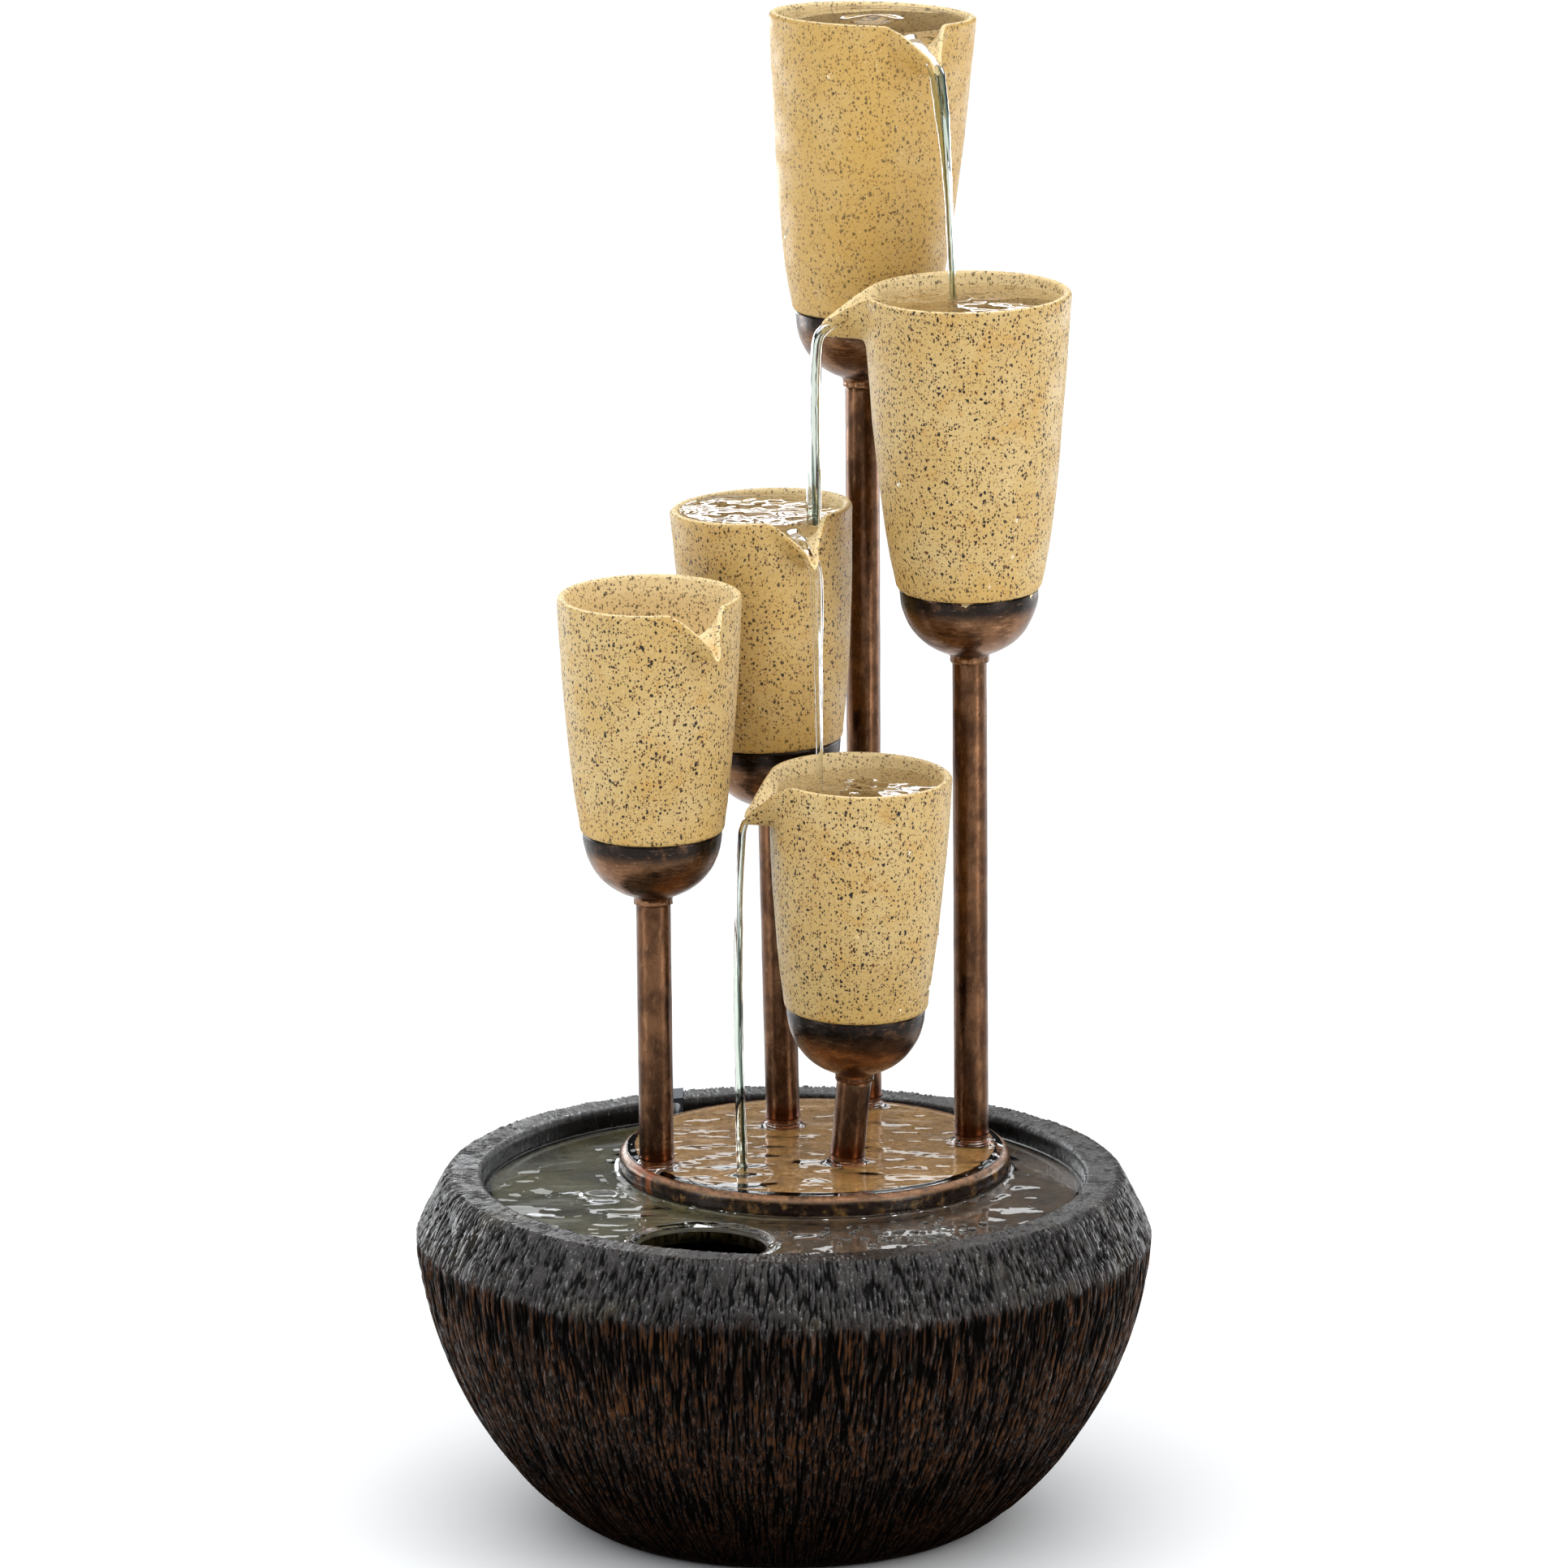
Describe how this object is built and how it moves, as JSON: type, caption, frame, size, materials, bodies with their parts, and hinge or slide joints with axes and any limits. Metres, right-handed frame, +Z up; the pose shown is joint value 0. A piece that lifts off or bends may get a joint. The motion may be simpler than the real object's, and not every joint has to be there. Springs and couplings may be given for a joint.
{
  "type": "tiered water fountain",
  "caption": "Round carved basin with a lift-off deck; slim metal poles carry leaning spouted cups that pour from one into the next.",
  "frame": {"origin": "centre of the basin's flat base, on the ground", "axes": "+Z up through the poles; -Y is the front, where the low rim and the return hole are"},
  "size_m": [0.4064, 0.4137, 0.8137],
  "materials": {
    "speckled_ware": "matt, sandy, dark iron speckles",
    "antique_copper": "dark brushed patina with rubbed high spots",
    "dark_brass": "dark, wet, tarnished",
    "carved_stone": "bark-like grooves, dark with rust-brown ridges, wet",
    "wet_deck": "smooth, brown, under a film of water",
    "grey_rubber": "matt grey",
    "black_rubber": "matt black",
    "steel": "plain stainless",
    "clear_hose": "milky flexible hose",
    "black_plastic": "moulded, fine texture",
    "grey_plastic": "moulded, fine texture",
    "white_plastic": "moulded rotor over its magnet",
    "core_iron": "laminated",
    "coil_copper": "enamelled winding",
    "shaft_ceramic": "polished"
  },
  "bodies": {
    "basin": {"basin_shell": "carved_stone", "rim_lead_gland": "grey_rubber", "pump_housing": "black_plastic", "pump_back_cover": "black_plastic", "pump_lead_gland": "black_rubber", "pump_core": "core_iron", "pump_coil": "coil_copper", "pump_shaft": "shaft_ceramic", "pump_chamber_cover": "black_plastic", "pump_outlet_nipple": "grey_plastic", "pump_suction_feet": "black_rubber"},
    "head": {"deck": "wet_deck", "base_plate": "antique_copper", "spigot_1": "dark_brass", "spigot_2": "dark_brass", "spigot_3": "dark_brass", "spigot_4": "dark_brass", "spigot_5": "dark_brass", "spigot_seals": "black_rubber", "spigot_washers": "steel", "spigot_nuts": "steel", "supply_hose": "clear_hose", "hose_clamp": "steel"},
    "pump_rotor": {"pump_rotor": "white_plastic"},
    "pump_cover": {"pump_intake_cover": "black_plastic"},
    "flow_dial": {"pump_flow_dial": "grey_plastic"},
    "tier_1": {"pole_1": "antique_copper", "cradle_1": "antique_copper", "cup_1": "speckled_ware", "inlet_nozzle": "dark_brass"},
    "tier_2": {"pole_2": "antique_copper", "cradle_2": "antique_copper", "cup_2": "speckled_ware"},
    "tier_3": {"pole_3": "antique_copper", "cradle_3": "antique_copper", "cup_3": "speckled_ware"},
    "tier_4": {"pole_4": "antique_copper", "cradle_4": "antique_copper", "cup_4": "speckled_ware"},
    "tier_5": {"pole_5": "antique_copper", "cradle_5": "antique_copper", "cup_5": "speckled_ware"}
  },
  "joints": [
    {"name": "head_lift", "type": "slide", "parent": "basin", "child": "head", "axis": [0, 0, 1], "range_m": [0, 0.15]},
    {"name": "impeller_spin", "type": "hinge", "parent": "basin", "child": "pump_rotor", "pos_m": [0.024, 0.082, 0.036], "axis": [1, 0, 0], "continuous": true},
    {"name": "intake_cover_slide", "type": "slide", "parent": "basin", "child": "pump_cover", "axis": [1, 0, 0], "range_m": [0, 0.018]},
    {"name": "flow_dial_turn", "type": "hinge", "parent": "pump_cover", "child": "flow_dial", "pos_m": [0.046, 0.082, 0.036], "axis": [1, 0, 0], "range_deg": [0, 45]},
    {"name": "cup_1_swivel", "type": "hinge", "parent": "head", "child": "tier_1", "pos_m": [0.0456, 0.147, 0.193], "axis": [-0.0053, 0, 1], "range_deg": [-8, 8]},
    {"name": "cup_2_swivel", "type": "hinge", "parent": "head", "child": "tier_2", "pos_m": [0.1041, 0.065, 0.193], "axis": [-0.008, 0, 1], "range_deg": [-10, 2]},
    {"name": "cup_3_swivel", "type": "hinge", "parent": "head", "child": "tier_3", "pos_m": [-0.0005, 0.1, 0.193], "axis": [-0.0247, 0, 0.9997], "range_deg": [-2, 10]},
    {"name": "cup_4_swivel", "type": "hinge", "parent": "head", "child": "tier_4", "pos_m": [-0.07, 0.0127, 0.193], "axis": [-0.0099, 0, 1], "range_deg": [-15, 15]},
    {"name": "cup_5_swivel", "type": "hinge", "parent": "head", "child": "tier_5", "pos_m": [0.0344, 0.0195, 0.193], "axis": [0.0887, 0, 0.9961], "range_deg": [-10, 10]}
  ]
}
